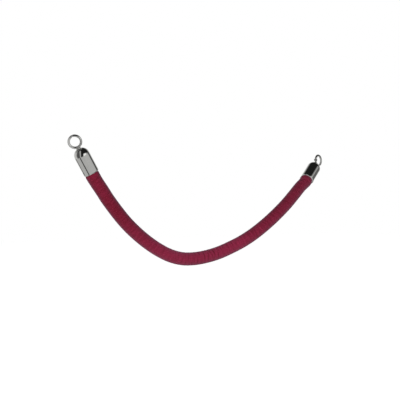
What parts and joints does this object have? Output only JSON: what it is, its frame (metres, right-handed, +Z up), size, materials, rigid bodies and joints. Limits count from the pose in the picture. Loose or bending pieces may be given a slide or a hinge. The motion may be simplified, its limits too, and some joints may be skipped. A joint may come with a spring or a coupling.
{
  "type": "velvet barrier rope",
  "caption": "Hanging velvet barrier rope with chromed domed end caps and swivelling spring-gate ring hooks",
  "frame": {"origin": "middle of the left hook's eye, where a post holds the rope", "axes": "+X along the span to the right end, +Z up, +Y away from the side that is seen"},
  "size_m": [0.9273, 0.0921, 0.3637],
  "materials": {
    "velvet": "dark red cut-pile velvet",
    "filler": "soft cotton filling cord",
    "twine": "waxed twine",
    "chrome": "polished chrome plate",
    "steel": "zinc-plated steel",
    "black_screw": "blackened steel"
  },
  "bodies": {
    "rope": {"velvet_sleeve": "velvet", "core": "filler", "left_ferrule": "chrome", "left_fixing_screws": "black_screw", "left_whipping": "twine", "left_thrust_washer": "steel", "right_ferrule": "chrome", "right_fixing_screws": "black_screw", "right_whipping": "twine", "right_thrust_washer": "steel"},
    "left_hook": {"left_hook_body": "chrome", "left_inner_washer": "steel", "left_lock_nut": "steel", "left_gate_pin": "chrome", "left_gate_spring": "steel"},
    "left_gate_leaf": {"left_gate": "chrome"},
    "right_hook": {"right_hook_body": "chrome", "right_inner_washer": "steel", "right_lock_nut": "steel", "right_gate_pin": "chrome", "right_gate_spring": "steel"},
    "right_gate_leaf": {"right_gate": "chrome"}
  },
  "joints": [
    {"name": "left_swivel", "type": "hinge", "parent": "rope", "child": "left_hook", "pos_m": [0, 0, 0], "axis": [-0.507, 0, 0.8619], "continuous": true},
    {"name": "left_gate_hinge", "type": "hinge", "parent": "left_hook", "child": "left_gate_leaf", "pos_m": [0.01462, -0.00541, -0.00477], "axis": [-0.4047, -0.8829, -0.238], "range_deg": [0, 35], "stiffness_Nm_per_rad": 0.08, "springref_deg": -17.19, "deforming": ["left_gate_spring"]},
    {"name": "right_swivel", "type": "hinge", "parent": "rope", "child": "right_hook", "pos_m": [0.89006, 0.05846, -0.02367], "axis": [0.7019, 0.234, 0.6727], "continuous": true},
    {"name": "right_gate_hinge", "type": "hinge", "parent": "right_hook", "child": "right_gate_leaf", "pos_m": [0.87449, 0.0537, -0.0229], "axis": [-0.2938, 0.9555, -0.0258], "range_deg": [0, 35], "stiffness_Nm_per_rad": 0.08, "springref_deg": -17.19, "deforming": ["right_gate_spring"]}
  ]
}
